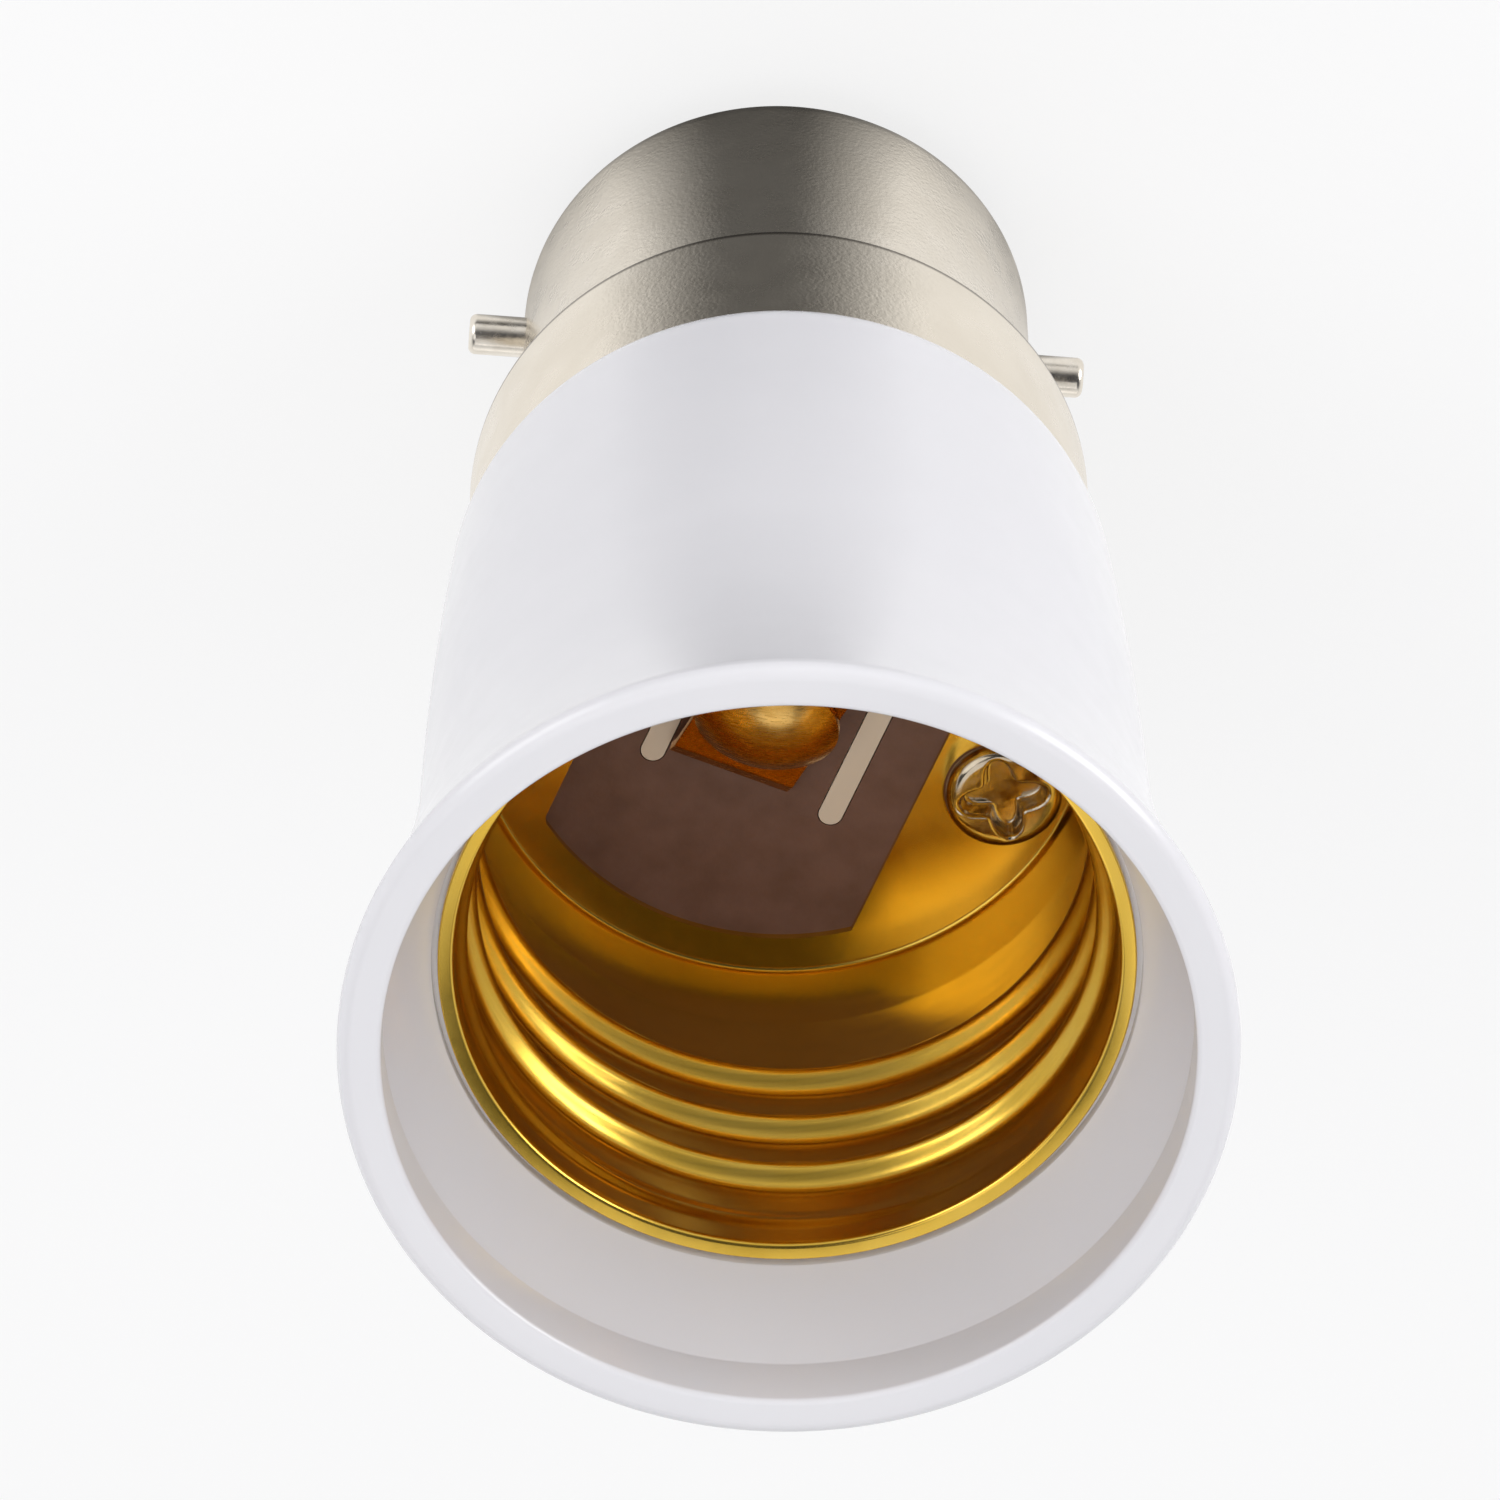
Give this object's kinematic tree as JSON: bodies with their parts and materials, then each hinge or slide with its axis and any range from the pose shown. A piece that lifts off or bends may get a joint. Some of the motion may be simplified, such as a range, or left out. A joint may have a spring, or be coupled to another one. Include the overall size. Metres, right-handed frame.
{
  "type": "lamp socket adapter",
  "caption": "Adapter sleeve with a bayonet lamp cap below and a screw lamp socket in its flared mouth, with a sprung centre contact.",
  "frame": {"origin": "on the long axis, in the plane of the two end contacts' flat faces", "axes": "+Z along the axis from the end contacts to the open mouth, +X through the two bayonet pins, +Y through the two end contacts"},
  "size_m": [0.0356, 0.0356, 0.0646],
  "materials": {
    "bayonet_cap": "satin nickel plate",
    "bayonet_pin_left": "bright nickel plate",
    "bayonet_pin_right": "bright nickel plate",
    "cap_insulator": "pressed opaque black glass",
    "end_contact_front": "stamped",
    "end_contact_back": "stamped",
    "solder_drop_front": "solder, dressed flat",
    "solder_drop_back": "solder, dressed flat",
    "sleeve": "moulded gloss white",
    "contact_disc": "brown phenolic",
    "screw_shell": "bright rolled sheet",
    "shell_screw_left": "nickel plated",
    "shell_screw_right": "nickel plated",
    "contact_foot": "spring bronze strip",
    "contact_leaf": "spring bronze strip",
    "contact_button": "turned, brushed",
    "contact_rivet": "tubular rivet",
    "shell_tag": "tinned strip",
    "centre_tag": "tinned strip",
    "shell_lead": "blue insulated wire",
    "centre_lead": "brown insulated wire"
  },
  "bodies": {
    "adapter": {"bayonet_cap": "bayonet_cap", "bayonet_pin_left": "bayonet_pin_left", "bayonet_pin_right": "bayonet_pin_right", "cap_insulator": "cap_insulator", "end_contact_front": "end_contact_front", "end_contact_back": "end_contact_back", "solder_drop_front": "solder_drop_front", "solder_drop_back": "solder_drop_back", "sleeve": "sleeve", "contact_disc": "contact_disc", "screw_shell": "screw_shell", "shell_screw_left": "shell_screw_left", "shell_screw_right": "shell_screw_right", "contact_foot": "contact_foot", "contact_rivet": "contact_rivet", "shell_tag": "shell_tag", "centre_tag": "centre_tag", "shell_lead": "shell_lead", "centre_lead": "centre_lead"},
    "spring_contact": {"contact_leaf": "contact_leaf", "contact_button": "contact_button"}
  },
  "joints": [
    {"name": "contact_spring", "type": "hinge", "parent": "adapter", "child": "spring_contact", "pos_m": [-0.00151, -0.00466, 0.04102], "axis": [0.9511, -0.309, 0], "range_deg": [-3, 0], "stiffness_Nm_per_rad": 0.26}
  ]
}
